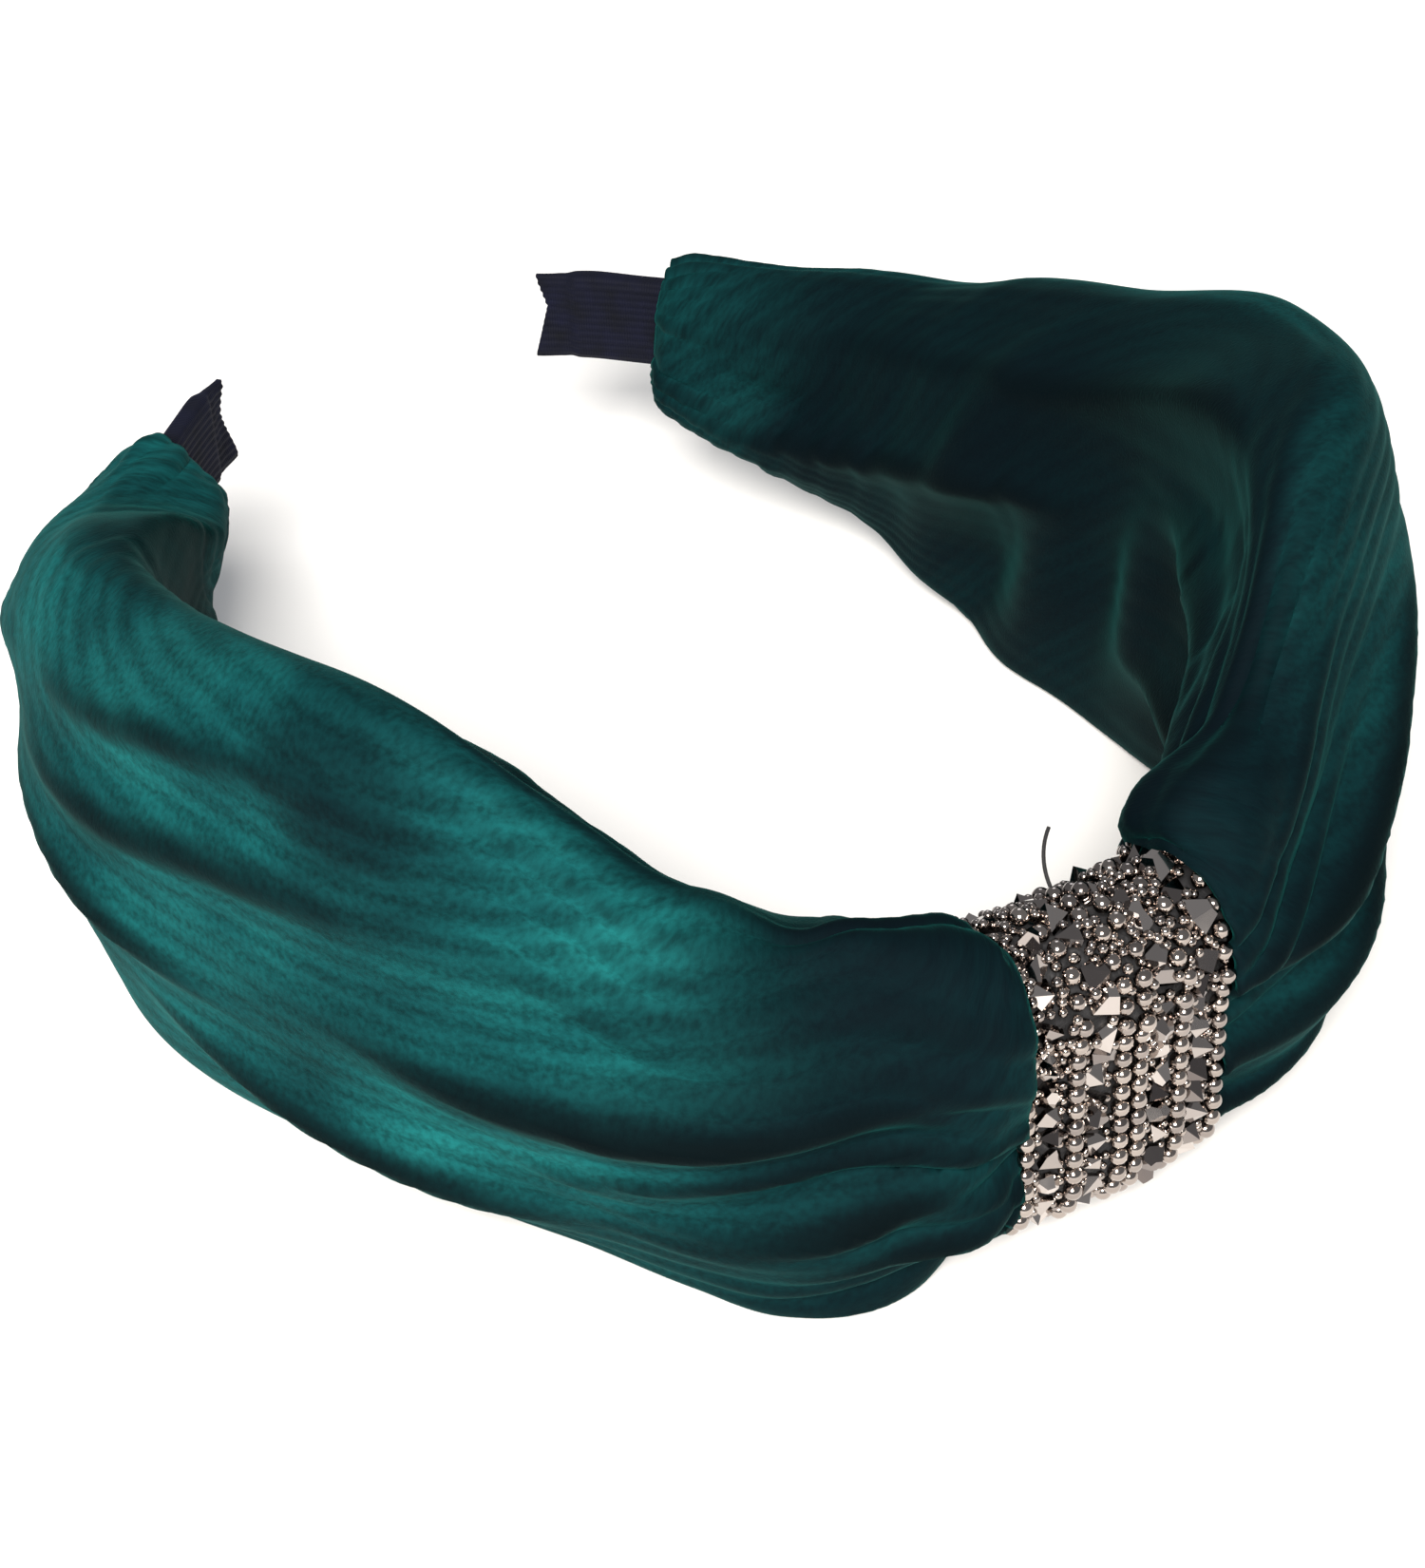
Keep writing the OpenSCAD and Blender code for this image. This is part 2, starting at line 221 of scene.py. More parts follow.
# Grooves between the folds, each a path of (length along, degrees round, depth). Degrees run
# from -90 under the band, by 0 outside, 90 on top and 180 inside, to 270 under it again.
# width is how far the fold's shoulders are from the groove's bottom.
GROOVES = {
    LEFT: [
        (9, [(12, 6, 4.5), (28, 8, 4.5), (40, 3, 3.5), (56, 2, 2.2), (80, 4, 0)]),
        (5, [(12, -12, 2.4), (26, -8, 2.2), (40, -14, 1.4), (58, -20, 0)]),
        (8, [(12, -40, 4.2), (21, -22, 4), (29, -28, 2.4), (44, -36, 0)]),
        (5, [(12, -62, 3.2), (16, -44, 3.4), (24, -38, 2), (34, -44, 0)]),
        (7, [(12, 34, 3.0), (22, 36, 2.6), (36, 34, 1.4), (60, 36, 0)]),
        (6, [(12, 60, 2.8), (20, 64, 2.0), (30, 66, 0)]),
        (7, [(45, -40, 0), (60, -34, 1.8), (80, -28, 2.0), (104, -22, 0)]),
        (7, [(60, 30, 0), (84, 28, 1.6), (104, 22, 1.6), (128, 20, 0)]),
        (6, [(84, -8, 0), (100, -4, 1.5), (120, 2, 1.3), (140, 4, 0)]),
        (6, [(70, 58, 0), (90, 52, 1.3), (110, 46, 1.2), (126, 44, 0)]),
        (8, [(132, 40, 0), (150, 20, 2.4), (164, 8, 2.8), (TAIL, 4, 2.2)]),
        (6, [(140, -30, 0), (156, -28, 2.2), (TAIL, -24, 1.6)]),
        (8, [(110, 96, 0), (130, 110, 2.4), (150, 140, 3.6), (166, 168, 3.6), (TAIL, 165, 2)]),
        (7, [(100, 196, 0), (130, 200, 2.4), (155, 206, 2.6), (TAIL, 204, 1.5)]),
        (9, [(14, 150, 3), (50, 140, 2.4), (90, 142, 3.2), (125, 150, 2)]),
        (8, [(14, 205, 3), (45, 196, 2.5), (80, 190, 2.6), (104, 182, 0)]),
    ],
    RIGHT: [
        (8, [(12, 8, 4.0), (20, 4, 4.2), (32, 6, 3.0), (48, 20, 2.2), (66, 30, 0)]),
        (8, [(12, -28, 4.0), (22, -26, 3.8), (36, -16, 2.6), (56, -10, 0)]),
        (6, [(12, -56, 3.2), (20, -46, 2.6), (34, -40, 0)]),
        (7, [(12, 44, 2.6), (22, 48, 2.0), (40, 54, 0)]),
        (6, [(12, 72, 2.4), (18, 76, 2.8), (26, 80, 0)]),
        (5, [(13, 98, 2.2), (18, 104, 2.6), (24, 108, 0)]),
        (7, [(52, -34, 0), (70, -30, 1.8), (96, -24, 2.0), (120, -18, 0)]),
        (7, [(60, 6, 0), (84, 8, 1.8), (110, 10, 1.6), (136, 6, 0)]),
        (7, [(70, 46, 0), (90, 44, 1.6), (112, 38, 1.2), (130, 36, 0)]),
        (8, [(136, 20, 0), (156, 12, 2.4), (TAIL, 8, 2.2)]),
        (12, [(40, 112, 0), (62, 124, 3.0), (97, 142, 3.6), (118, 146, 3.4), (141, 150, 3.6), (160, 152, 3.2),
              (TAIL, 150, 1.8)]),
        (10, [(96, 172, 0), (104, 176, 2.4), (126, 186, 3.6), (149, 205, 4.0), (163, 218, 3.6),
              (TAIL, 210, 1.8)]),
        (6, [(146, 224, 0), (158, 232, 1.8), (TAIL, 226, 1.4)]),
        (8, [(14, 150, 3), (34, 150, 2.6), (60, 158, 3.0), (86, 160, 0)]),
        (8, [(14, 205, 3), (40, 200, 2.8), (66, 196, 3.0), (92, 204, 0)]),
    ],
}

GROOVE_DEPTH = 1.6           # scales every depth above
GROOVE_ROUND = 0.35          # radius of a groove's bottom
GATHERS = 21                 # gathers round a wing where it is pinched
GATHER_DEPTH = 1.7
TAIL_GATHER_DEPTH = 0.8
SOFT_ROWS = 33               # shallow rows between the gathers
SOFT_ROW_DEPTH = 0.17
SWELL = 0.45                 # broad swells of the slack cloth
SMALL_SWELL = 0.12
VELVET_T = 0.9
REST_GAP = 0.02              # above the floor, where the wing lies on it
BEND_OVER = 24
VELVET_RINGS = 190
VELVET_COLUMNS = 260

# Painted light and shade in the pile's colour: the right wing is painted darker than the left, the
# inside of each wing darker than its outside, and the cloth darker near the strap. Patches are (length along,
# degrees round, reach along, reach round, how much darker); some are crushed pile, some painted shade, and
# those below 0 are painted light.
PAINTED_SIDE_LIGHT = {LEFT: 1.0, RIGHT: 0.42}
PAINTED_SHADE_AT_STRAP = 0.28
PAINTED_FOLD_LIGHT = 0.6           # painted highlight on fold shoulders, painted shade in fold bottoms
PAINTED_INSIDE_SHADE = 0.85
FOLD_SHADE_DEPTH = 1.6              # depth in a fold where the painted fold shade is darkest
CRUSHED_AND_PAINTED_PATCHES = {
    LEFT: [(71, 58, 9, 8, 0.5), (26, 80, 14, 10, 0.4), (96, 80, 7, 5, 0.3), (20, 60, 14, 18, 0.5),
           (24, 20, 20, 14, 0.45), (40, 5, 22, 5, 0.55), (22, -55, 18, 12, 0.5),
           (62, -50, 42, 14, 0.35)],
    RIGHT: [(30, 70, 22, 20, 0.4), (112, 176, 16, 14, 0.6), (84, 196, 10, 16, 0.5), (60, 60, 14, 10, 0.3),
            (34, -30, 22, 10, -0.9), (70, -50, 30, 8, -0.7)],
}

# Soft hollows and puffed places: (length along, degrees round, reach along, reach round, height)
PUFFS = {
    LEFT: [
        (25, 78, 9, 9, 3.0), (38, 88, 6, 8, -2.2), (70, 56, 14, 12, -1.6), (22, 24, 12, 8, 1.6),
        (24, -6, 14, 6, 1.4), (18, -54, 8, 5, 1.6), (106, 30, 16, 12, 1.2), (150, 175, 14, 10, -2.0),
        (60, 165, 20, 12, -1.5), (90, 225, 22, 10, -1.2),
    ],
    RIGHT: [
        (118, 170, 10, 7, -3.2), (108, 206, 8, 9, -2.6), (122, 222, 7, 8, 1.8), (132, 206, 6, 9, -1.8),
        (96, 196, 8, 10, 1.8), (86, 186, 7, 11, -2.4), (150, 178, 20, 8, 1.8), (30, 60, 16, 12, 1.8),
        (70, 96, 20, 8, 1.0), (42, -4, 10, 6, 1.6),
    ],
}


def path_points(path, s, girth, degrees):
    """A path's corners in millimetres on the unrolled tube, with its depths."""
    lengths, rounds, depths = (np.array(c, float) for c in zip(*path))
    fine = np.linspace(lengths[0], lengths[-1], 40)
    turn = smooth_line(fine, lengths, rounds)
    ring = np.clip(np.searchsorted(s, fine), 0, len(s) - 1)
    across = np.array([np.interp(a, degrees, girth[r, :-1]) for a, r in zip(turn, ring)])
    return fine, across, np.maximum(smooth_line(fine, lengths, depths), 0)


def groove_relief(path, width, s, lengths, girth, degrees):
    """How far the tube is pressed in along a path: narrow at the bottom, round at the shoulders."""
    path_s, path_g, depth = path_points(path, s, girth, degrees)
    pressed = np.zeros(lengths.shape)
    here = girth[:, :-1]
    reached = (s > path_s[0] - width) & (s < path_s[-1] + width)
    for i in range(len(path_s) - 1):
        a = np.array([path_s[i], path_g[i]])
        step = np.array([path_s[i + 1], path_g[i + 1]]) - a
        near = reached & (s > a[0] - width - 1) & (s < a[0] + step[0] + width + 1)
        if not near.any():
            continue
        ds = lengths[near] - a[0]
        dg = here[near] - a[1]
        t = np.clip((ds * step[0] + dg * step[1]) / (step @ step), 0, 1)
        away = np.sqrt((ds - t * step[0]) ** 2 + (dg - t * step[1]) ** 2 + GROOVE_ROUND ** 2) - GROOVE_ROUND
        deep = depth[i] + t * (depth[i + 1] - depth[i])
        pressed[near] = np.maximum(pressed[near], deep * np.clip(1 - away / width, 0, 1) ** 1.8)
    return pressed


def nearness(lengths, girth, s, degrees, place):
    """How near each point is to a place (length along, degrees round, reach along, reach round),
    as the square of its distance in reaches."""
    at, around, reach_s, reach_g = place
    centre = np.interp(around, degrees, girth[np.searchsorted(s, at), :-1])
    return ((lengths - at) / reach_s) ** 2 + ((girth[:, :-1] - centre) / reach_g) ** 2


def wing_surface(side, rng):
    """The folded outer surface of one velvet wing, with how deep in a fold each point is as painted fold
    shade, its painted light and shade with crushed patches, and its lengths along and round the cloth."""
    rings, count = VELVET_RINGS, VELVET_COLUMNS
    sizes = WING[side]
    ease = np.linspace(0, 1, rings)
    s = STATIONS[0] + (TAIL - STATIONS[0]) * (ease - 0.055 * np.sin(2 * math.pi * ease))
    degrees = np.linspace(-90, 270, count, endpoint=False)
    lengths, turn = np.meshgrid(s, np.radians(degrees), indexing="ij")
    top, bottom, out, inside, lean, foot = (
        smooth_line(lengths, STATIONS, sizes[key]) for key in ("top", "bottom", "out", "in", "lean", "foot")
    )
    up = np.sin(turn)
    sideways = np.cos(turn)
    height = np.where(up > 0, top, bottom) * up
    reach = np.where(sideways > 0, out, inside) * np.sign(sideways) * np.abs(sideways) ** 0.85
    reach = reach + lean * np.clip(up, 0, 1) ** 2 + foot * np.clip(-up, 0, 1) ** 2
    # At the strap each ring stands in the plane of the strap's edge, and turns square to the
    # core further along
    squared = fade(lengths, FLEX + 16, FLEX)
    shifted = lengths - squared * reach * np.sin(FLEX / CROWN_R)
    plain = stand_off(shifted, reach, height)
    normal = tube_normals(plain)

    steps = np.linalg.norm(np.diff(plain, axis=1, append=plain[:, :1]), axis=-1)
    girth = np.concatenate([np.zeros((rings, 1)), np.cumsum(steps, 1)], 1)

    relief = np.zeros(plain.shape[:2])
    for width, path in GROOVES[side]:
        relief -= GROOVE_DEPTH * groove_relief(path, width, s, lengths, girth, degrees)
    for *place, lift in PUFFS[side]:
        relief += lift * np.exp(-nearness(lengths, girth, s, degrees, place))

    # Gathers run lengthwise: deep where the strap pinches the tube, soft and shallow further
    # along, and deep again where the end is gathered round the ribbon.
    share = 2 * math.pi * girth[:, :-1] / girth[:, -1:]
    wander = ripple(rng, lengths, share, (1, 3), 150)
    strength = np.clip(0.6 + 0.4 * ripple(rng, lengths, share, (2, 7), 80), 0, 1.3)
    at_strap = fade(lengths, 46, 12)
    at_tail = fade(lengths, 160, TAIL)
    rib = 0.5 * np.sin(GATHERS * share + 3 * wander)
    relief += rib * strength * (GATHER_DEPTH * at_strap + TAIL_GATHER_DEPTH * at_tail)
    soft = np.sin(SOFT_ROWS * share + 3 * wander)
    near_strap = fade(lengths, 100, 40)
    relief += soft * strength * (0.05 + SOFT_ROW_DEPTH * near_strap)
    # Slack cloth: broad soft swells
    middle = fade(lengths, 24, 50) * fade(lengths, 176, 150)
    relief += middle * SWELL * ripple(rng, lengths, share, (1, 4), 75)
    relief += middle * SMALL_SWELL * ripple(rng, lengths, share, (3, 8), 40)
    # Nothing may stand proud where the strap and the glued tail hold the tube
    held = fade(lengths, FLEX - 0.5, FLEX + 17) * fade(lengths, TAIL + 0.2, TAIL - 3)
    relief = np.where(relief > 0, relief * held, relief * (0.65 + 0.35 * held))

    # Painted light and shade: a fold's shoulder is painted lighter than its bottom, the inside of the wing is
    # painted darker, and so are the cloth near the strap and the whole right wing
    level = sum(np.roll(relief, k, 1) for k in range(-7, 8)) / 15
    painted_light_and_crush = PAINTED_SIDE_LIGHT[side] * (PAINTED_SHADE_AT_STRAP + (1 - PAINTED_SHADE_AT_STRAP) * fade(lengths, 16, 58))
    painted_light_and_crush = painted_light_and_crush * (1 + PAINTED_FOLD_LIGHT * np.clip((relief - level) / 0.8, -1, 0.6))
    painted_light_and_crush = painted_light_and_crush * (1 - PAINTED_INSIDE_SHADE * fade(np.cos(turn), 0.15, -0.25) * fade(lengths, 176, 150))
    for *place, darker in CRUSHED_AND_PAINTED_PATCHES[side]:
        painted_light_and_crush = painted_light_and_crush * (1 - darker * np.exp(-nearness(lengths, girth, s, degrees, place) ** 2))
    # Painted shade: a fold's bottom is painted darker the deeper it lies below its neighbours
    painted_fold_shade = np.clip((level - relief) / FOLD_SHADE_DEPTH, 0, 1)
    folded = plain + normal * relief[..., None]
    folded[..., 2] = np.maximum(folded[..., 2], REST_GAP - band_z)
    return folded, painted_fold_shade, painted_light_and_crush, lengths, girth[:, :-1]


def make_wing(side, name, node):
    """One velvet wing, fixed in place: it does not bend with its arm."""
    rng = np.random.default_rng(41 if side == LEFT else 87)
    outer, painted_fold_shade, painted_light_and_crush, lengths, girths = wing_surface(side, rng)
    inner = outer - tube_normals(outer) * VELVET_T
    inner[..., 2] = np.maximum(inner[..., 2], VELVET_T - band_z)
    wing = add_shell(name, outer, inner, side, lengths, girths)
    for key, values in (("painted_fold_shade", painted_fold_shade), ("painted_light_and_crush", painted_light_and_crush)):
        attribute = wing.data.attributes.new(key, "FLOAT", "POINT")
        attribute.data.foreach_set("value", np.tile(values.reshape(-1), 2).astype(np.float32))
    wing.data.materials.append(velvet)
    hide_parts(node)
    start = to_row(stand_off(np.array(FLEX), 0, 0), side)
    end = to_row(stand_off(np.array(FLEX + BEND_OVER), 0, 0), side)
    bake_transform(wing)


# ---- The knot under the strap ----

STRAP_W = 27
STRAP_H = 33
STRAP_D = 13
STRAP_SAG = 6
STRAP_T = 0.9
END_R = STRAP_D / 2
STRAIGHT = STRAP_H / 2 - END_R
BEND = math.pi * END_R
LOOP = 4 * STRAIGHT + 2 * BEND
EDGE_WOBBLE = 0.28           # how uneven the strap's edges are
PINCH_REACH = FLEX + 0.2     # half the length of the bunched velvet, just past the strap's edge
PINCH_FOLDS = 15
PINCH_FOLD_DEPTH = 1.1


def loop_at(u, lift=0.0):
    """A point on the strap's outer line, a length u from the middle of its inner face upwards:
    how far outward, how high, and the way it faces."""
    u = np.asarray(u, float) % LOOP
    ends = np.cumsum([STRAIGHT, BEND, 2 * STRAIGHT, BEND])
    part = np.searchsorted(ends, u)
    over = (u - ends[0]) / END_R
    under = (u - ends[2]) / END_R
    out = np.choose(part, [-END_R + 0 * u, -END_R * np.cos(over), END_R + 0 * u, END_R * np.cos(under),
                           -END_R + 0 * u])
    up = np.choose(part, [u, STRAIGHT + END_R * np.sin(over), STRAIGHT - (u - ends[1]),
                          -STRAIGHT - END_R * np.sin(under), u - LOOP])
    face_out = np.choose(part, [-1 + 0 * u, -np.cos(over), 1 + 0 * u, np.cos(under), -1 + 0 * u])
    face_up = np.choose(part, [0 * u, np.sin(over), 0 * u, -np.sin(under), 0 * u])
    return out + lift * face_out, up + lift * face_up, face_out, face_up


def on_strap(u, x, lift):
    """A point over the strap at x across it, in the band's frame, with the way it faces."""
    out, up, face_out, face_up = loop_at(u, lift)
    turn = np.arcsin(x / (CROWN_R + out))
    place = np.stack([x + 0 * out, CROWN_R - (CROWN_R + out) * np.cos(turn), up - STRAP_SAG], -1)
    facing = np.stack([face_out * np.sin(turn), -face_out * np.cos(turn), face_up + 0 * turn], -1)
    return place, facing


def make_pinch():
    """The bunched velvet that the strap squeezes, ribbed lengthwise and closed at both ends."""
    rng = np.random.default_rng(5)
    rings, count = 40, 160
    across = np.linspace(-PINCH_REACH, PINCH_REACH, rings)
    x, u = np.meshgrid(across, np.linspace(0, LOOP, count, endpoint=False), indexing="ij")
    wander = 0.5 * ripple(rng, x, u * 2 * math.pi / LOOP, (1, 3), 60)
    folds = np.abs(np.sin(math.pi * PINCH_FOLDS * u / LOOP + wander))
    place, _ = on_strap(u, x, -STRAP_T - 0.15 - PINCH_FOLD_DEPTH * (1 - folds ** 0.7))
    place = place[:, ::-1]
    faces = [list(f) for f in tube_faces(rings, count)]
    faces.append(list(range(count))[::-1])
    faces.append(list(range((rings - 1) * count, rings * count)))
    pinch = add_mesh("velvet_knot", to_row(place), faces)
    pinch.data.materials.append(velvet_plain)
    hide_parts("velvet_pinch")
    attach(pinch, "crown")


def make_backing():
    """The strap's mesh backing, with the uneven edges of a cut and turned trim."""
    rng = np.random.default_rng(12)
    count, across = 220, 30
    u = np.linspace(0, LOOP, count, endpoint=False)
    turn = u * 2 * math.pi / LOOP
    edge_left = STRAP_W / 2 + EDGE_WOBBLE * ripple(rng, 0 * u, turn, (5, 22), 20)
    edge_right = STRAP_W / 2 + EDGE_WOBBLE * ripple(rng, 0 * u, turn, (5, 22), 20)
    share = np.linspace(0, 1, across)[:, None]
    x = -edge_left * (1 - share) + edge_right * share
    over = np.broadcast_to(u, x.shape)
    curl = np.abs(2 * share - 1) ** 8
    lumps = 0.09 * ripple(rng, x, np.broadcast_to(turn, x.shape), (8, 30), 8)
    outer, _ = on_strap(over, x, lumps - 0.15 * curl - 0.1)
    inner, _ = on_strap(over, x, -STRAP_T + 0.05 + 0 * x)
    backing = add_shell("strap_mesh_backing", outer[:, ::-1], inner[:, ::-1], RIGHT, x, over[:, ::-1])
    backing.data.materials.append(mesh_cloth)
    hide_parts("strap_backing")
    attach(backing, "crown")


# ---- Beads and stones on the strap ----

BEAD_D = 1.95
SEED_D = 0.9
BEADS_IN_ROW = 31
STONES_IN_ROW = 23
BEADED_FROM = 6.95
BEAD_ROWS = [-11.6, -6.3, -1.05, 1.05, 6.3, 11.6]
STONE_ROWS = [-8.7, -3.7, 3.7, 8.7]
TOP_FROM = STRAIGHT - 1      # the strap's top, where the trim is crushed into a jumble
TOP_TO = STRAIGHT + BEND + 1
SEED_COLUMNS = [-10.2, -7.5, -5.0, -2.5, 2.5, 5.0, 7.5, 10.2]
SEEDS_IN_COLUMN = 44
SEED_PITCH = 1.5
LOOSE_SEEDS = 110            # more seeds among the jumble
TRIM_REACH = STRAP_W / 2 - 1.5   # how far from the strap's middle a piece may lie
BALL, STONE, SEED = 0, 1, 2
SIZE = {BALL: BEAD_D / 2, STONE: 1.4, SEED: SEED_D / 2}
PUSHES = 70                  # rounds of pushing apart


def ball(detail):
    """Points and faces of a ball of radius 1."""
    shape = bmesh.new()
    bmesh.ops.create_icosphere(shape, subdivisions=detail, radius=1)
    points = np.array([v.co[:] for v in shape.verts])
    faces = np.array([[v.index for v in f.verts] for f in shape.faces])
    shape.free()
    return points, faces


def lay_out_trim(rng):
    """Where each ball, stone and seed lies: (kind, row, length round, x across). The rows start
    straight, the top is jumbled, and then pieces that overlap are pushed apart."""
    laid = []
    pitch = (LOOP - 2 * BEADED_FROM) / BEADS_IN_ROW
    for row, x in enumerate(BEAD_ROWS):
        for i in range(BEADS_IN_ROW):
            laid.append((BALL, row, BEADED_FROM + pitch * (i + 0.5), x))
    pitch = (LOOP - 2 * BEADED_FROM) / STONES_IN_ROW
    for row, x in enumerate(STONE_ROWS):
        for i in range(STONES_IN_ROW):
            laid.append((STONE, row, BEADED_FROM + pitch * (i + 0.5), x))
    for column in SEED_COLUMNS:
        for i in range(SEEDS_IN_COLUMN):
            u = BEADED_FROM + SEED_PITCH * (i + rng.uniform(0.1, 0.9))
            laid.append((SEED, 0, u, column + rng.normal() * 0.35))
    for _ in range(LOOSE_SEEDS):
        laid.append((SEED, 0, rng.uniform(TOP_FROM, TOP_TO), rng.uniform(-1, 1) * TRIM_REACH))
    kind = np.array([p[0] for p in laid])
    row = np.array([p[1] for p in laid])
    place = np.array([p[2:] for p in laid], float)
    start = place.copy()
    on_top = fade(place[:, 0], TOP_FROM - 4, TOP_FROM) * fade(place[:, 0], TOP_TO + 4, TOP_TO)
    outer_row = (kind == BALL) & ((row == 0) | (row == 5))
    wild = on_top * np.where(outer_row, 0.25, 1)
    wobble = 0.10 + 0.6 * wild
    place += rng.normal(size=place.shape) * wobble[:, None]
    radius = np.choose(kind, [SIZE[BALL], SIZE[STONE] * 0.8, SIZE[SEED]])
    weight = np.choose(kind, [0.25, 0.7, 1.0])
    for _ in range(PUSHES):
        gap = place[:, None] - place[None]
        away = np.linalg.norm(gap, axis=-1) + 1e-6
        short = np.clip((radius[:, None] + radius[None]) * 0.97 - away, 0, None)
        np.fill_diagonal(short, 0)
        push = gap / away[..., None] * short[..., None]
        place += 0.5 * push.sum(1) * weight[:, None]
        hold = np.where(kind == BALL, 0.25, 0.06) * (1 - 0.9 * wild)
        place += (start - place) * hold[:, None]
        place[:, 1] = np.clip(place[:, 1], -TRIM_REACH, TRIM_REACH)
        place[:, 0] = np.clip(place[:, 0], BEADED_FROM, LOOP - BEADED_FROM)
    return kind, row, place, on_top


def stone_points(rng, size, height):
    """A cut stone: an uneven base, a girdle and an off-centre point or small table on top."""
    corners = rng.integers(4, 7)
    turn = (np.arange(corners) + rng.uniform(-0.22, 0.22, corners)) * 2 * math.pi / corners
    turn += rng.uniform(0, 6)
    reach = size * rng.uniform(0.85, 1.1, corners)
    base = np.stack([reach * np.cos(turn), reach * np.sin(turn), np.zeros(corners)], -1)
    girdle = base * [1.04, 1.04, 1] + [0, 0, 0.32 * height]
    lean = rng.normal(size=2) * 0.22 * size
    if rng.random() < 0.3:
        crown = girdle * [0.42, 0.42, 1] + [lean[0], lean[1], 0.62 * height]
        points = np.concatenate([base * [0.85, 0.85, 1], girdle, crown])
        faces = [list(range(2 * corners, 3 * corners))]
    else:
        points = np.concatenate([base * [0.85, 0.85, 1], girdle, [[lean[0], lean[1], height]]])
        faces = []
    for i in range(corners):
        k = (i + 1) % corners
        faces.append([i, k, corners + k, corners + i])
        if len(points) == 3 * corners:
            faces.append([corners + i, corners + k, 2 * corners + k, 2 * corners + i])
        else:
            faces.append([corners + i, corners + k, 2 * corners])
    faces.append(list(range(corners))[::-1])
    return points, faces


def facing_frame(facing, rng=None, tilt=0.0):
    """Three directions for a piece that stands on the strap, the last one the way it faces."""
    if rng is not None:
        facing = facing + rng.normal(size=3) * tilt
    facing = facing / np.linalg.norm(facing)
    first = np.cross([1.0, 0.0, 0.0], facing)
    first = first / np.linalg.norm(first)
    return np.stack([first, np.cross(facing, first), facing])


def add_trim(name, parts, node, material, smooth):
    """One piece from many small shapes, each (points, faces, tone)."""
    points, faces, tones = [], [], []
    first = 0
    for own, own_faces, tone in parts:
        points.append(own)
        faces += [[i + first for i in f] for f in own_faces]
        tones += [tone] * len(own)
        first += len(own)
    made = add_mesh(name, to_row(np.concatenate(points)), faces, smooth)
    attribute = made.data.attributes.new("tone", "FLOAT", "POINT")
    attribute.data.foreach_set("value", tones)
    made.data.materials.append(material)
    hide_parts(node)
    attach(made, "crown")


def make_trim():
    """The balls, stones and seeds on the strap, row by row."""
    rng = np.random.default_rng(23)
    kind, row, place, on_top = lay_out_trim(rng)
    round_ball, ball_faces = ball(3)
    small_ball, small_faces = ball(2)
    balls = {i: [] for i in range(len(BEAD_ROWS))}
    stones = {i: [] for i in range(len(STONE_ROWS))}
    seeds = []
    for k, r, (u, x), top in zip(kind, row, place, on_top):
        if k == BALL:
            lift = BEAD_D / 2 - 0.05 + top * rng.uniform(0, 0.9)
            at, _ = on_strap(u, x, lift)
            size = BEAD_D / 2 * rng.uniform(0.96, 1.03)
            balls[r].append((at + round_ball * size, ball_faces.tolist(), rng.random()))
        elif k == SEED:
            at, _ = on_strap(u, x, SEED_D / 2 + (0.2 + 1.3 * top) * rng.uniform(0, 1))
            size = SEED_D / 2 * rng.uniform(0.85, 1.15) * (1 + 0.25 * top)
            seeds.append((at + small_ball * size, small_faces.tolist(), rng.random()))
        else:
            at, facing = on_strap(u, x, -0.1 + 0.25 * top)
            grown = 1 + 0.3 * top * rng.random()
            width = SIZE[STONE] * rng.uniform(1.0, 1.22) * grown
            own, faces = stone_points(rng, width, rng.uniform(1.7, 2.4) * grown)
            axes = facing_frame(facing, rng, 0.26 + 0.12 * top)
            stones[r].append((at + own @ axes, faces, rng.random()))
    for i, parts in balls.items():
        add_trim(f"ball_row_{i + 1}", parts, f"bead_row_{i + 1}", plated_ball, True)
    for i, parts in stones.items():
        add_trim(f"cut_stone_row_{i + 1}", parts, f"stone_row_{i + 1}", mirror_stone, False)
    add_trim("seed_balls", seeds, "seed_beads", plated_ball, True)


# ---- Ribbon sleeves ----

CORE_HALF_W = 7.0
CORE_TIP_HALF_W = 5.5
RIBBON_T = 0.6
FLAP = 5.5
HOLLOW = 2.0
FRAY = 0.06                  # how uneven the ribbon's cut end is
RIB_PITCH = 1.0


